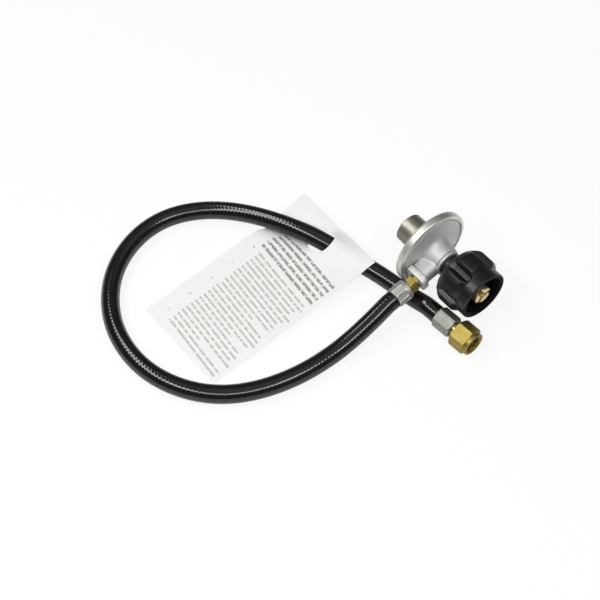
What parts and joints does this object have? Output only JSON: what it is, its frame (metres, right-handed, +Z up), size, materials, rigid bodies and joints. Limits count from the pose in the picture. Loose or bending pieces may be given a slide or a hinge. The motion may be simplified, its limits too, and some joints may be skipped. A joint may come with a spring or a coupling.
{
  "type": "gas regulator and hose",
  "caption": "low-pressure diaphragm regulator with a hand-wheel inlet nut and a crimped rubber hose that ends in a brass flare nut, with a card tag on the hose",
  "frame": {"origin": "on the regulator's axis, at the root of the inlet probe's castellated nose", "axes": "+X points out of the inlet along the regulator's axis, +Z is up with the part lying on its rim, hose and flare nut, and -Y is the side that the outlet points to"},
  "size_m": [0.2559, 0.2682, 0.065],
  "materials": {
    "regulator_body": "cast zinc, satin",
    "bonnet": "spun and cast, satin",
    "vent_screen": "dark mesh",
    "tower_cap": "satin",
    "adjusting_screw": "machined",
    "main_spring": "bright wire",
    "diaphragm": "matt",
    "diaphragm_plate": "pressed sheet",
    "diaphragm_stem": "machined",
    "relief_spring": "bright wire",
    "stem_nut": "machined",
    "lever": "stamped",
    "lever_pin": "ground",
    "valve_plunger": "moulded",
    "valve_pad": "matt",
    "nozzle": "machined",
    "inlet_probe": "machined",
    "limiter_poppet": "machined",
    "limiter_spring": "bright wire",
    "thermal_bush": "moulded black",
    "coupling_nut": "moulded black, fine satin",
    "hose_adapter": "machined",
    "ferrule_inlet": "crimped, satin",
    "hose": "smooth black, slightly glossy",
    "ferrule_outlet": "crimped, satin",
    "flare_stem": "machined",
    "flare_nut": "machined",
    "tag": "thin white sheet"
  },
  "bodies": {
    "housing": {"regulator_body": "regulator_body", "bonnet": "bonnet", "vent_screen": "vent_screen", "tower_cap": "tower_cap", "adjusting_screw": "adjusting_screw", "main_spring": "main_spring", "diaphragm": "diaphragm", "lever_pin": "lever_pin", "nozzle": "nozzle", "inlet_probe": "inlet_probe", "limiter_spring": "limiter_spring", "thermal_bush": "thermal_bush", "hose_adapter": "hose_adapter", "ferrule_inlet": "ferrule_inlet", "hose": "hose", "ferrule_outlet": "ferrule_outlet", "flare_stem": "flare_stem", "tag": "tag"},
    "diaphragm_group": {"diaphragm_plate": "diaphragm_plate", "diaphragm_stem": "diaphragm_stem", "relief_spring": "relief_spring", "stem_nut": "stem_nut"},
    "valve_lever": {"lever": "lever"},
    "valve": {"valve_plunger": "valve_plunger", "valve_pad": "valve_pad"},
    "flow_limiter": {"limiter_poppet": "limiter_poppet"},
    "hand_wheel": {"coupling_nut": "coupling_nut"},
    "flare_swivel": {"flare_nut": "flare_nut"}
  },
  "joints": [
    {"name": "coupling_nut_spin", "type": "hinge", "parent": "housing", "child": "hand_wheel", "pos_m": [0, 0, 0], "axis": [1, 0, 0], "continuous": true},
    {"name": "flare_nut_spin", "type": "hinge", "parent": "housing", "child": "flare_swivel", "pos_m": [0.0265, -0.0244, -0.0209], "axis": [0.9976, 0.0698, 0], "continuous": true},
    {"name": "diaphragm_lift", "type": "slide", "parent": "housing", "child": "diaphragm_group", "axis": [-1, 0, 0], "range_m": [0, 0.0015], "stiffness_N_per_m": 800, "springref_m": -0.004, "deforming": ["main_spring", "diaphragm"]},
    {"name": "lever_swing", "type": "hinge", "parent": "housing", "child": "valve_lever", "pos_m": [-0.0492, -0.00978, -0.00208], "axis": [0, -0.2079, 0.9781], "range_deg": [0, 8.6]},
    {"name": "plunger_slide", "type": "slide", "parent": "housing", "child": "valve", "axis": [0, 0.9781, 0.2079], "range_m": [0, 0.00045]},
    {"name": "limiter_slide", "type": "slide", "parent": "housing", "child": "flow_limiter", "axis": [-1, 0, 0], "range_m": [0, 0.0015], "stiffness_N_per_m": 60, "springref_m": -0.002, "deforming": ["limiter_spring"]}
  ],
  "couplings": [
    {"joint": "lever_swing", "follows": "diaphragm_lift", "rad_per_m": 100},
    {"joint": "plunger_slide", "follows": "diaphragm_lift", "ratio": 0.3}
  ]
}
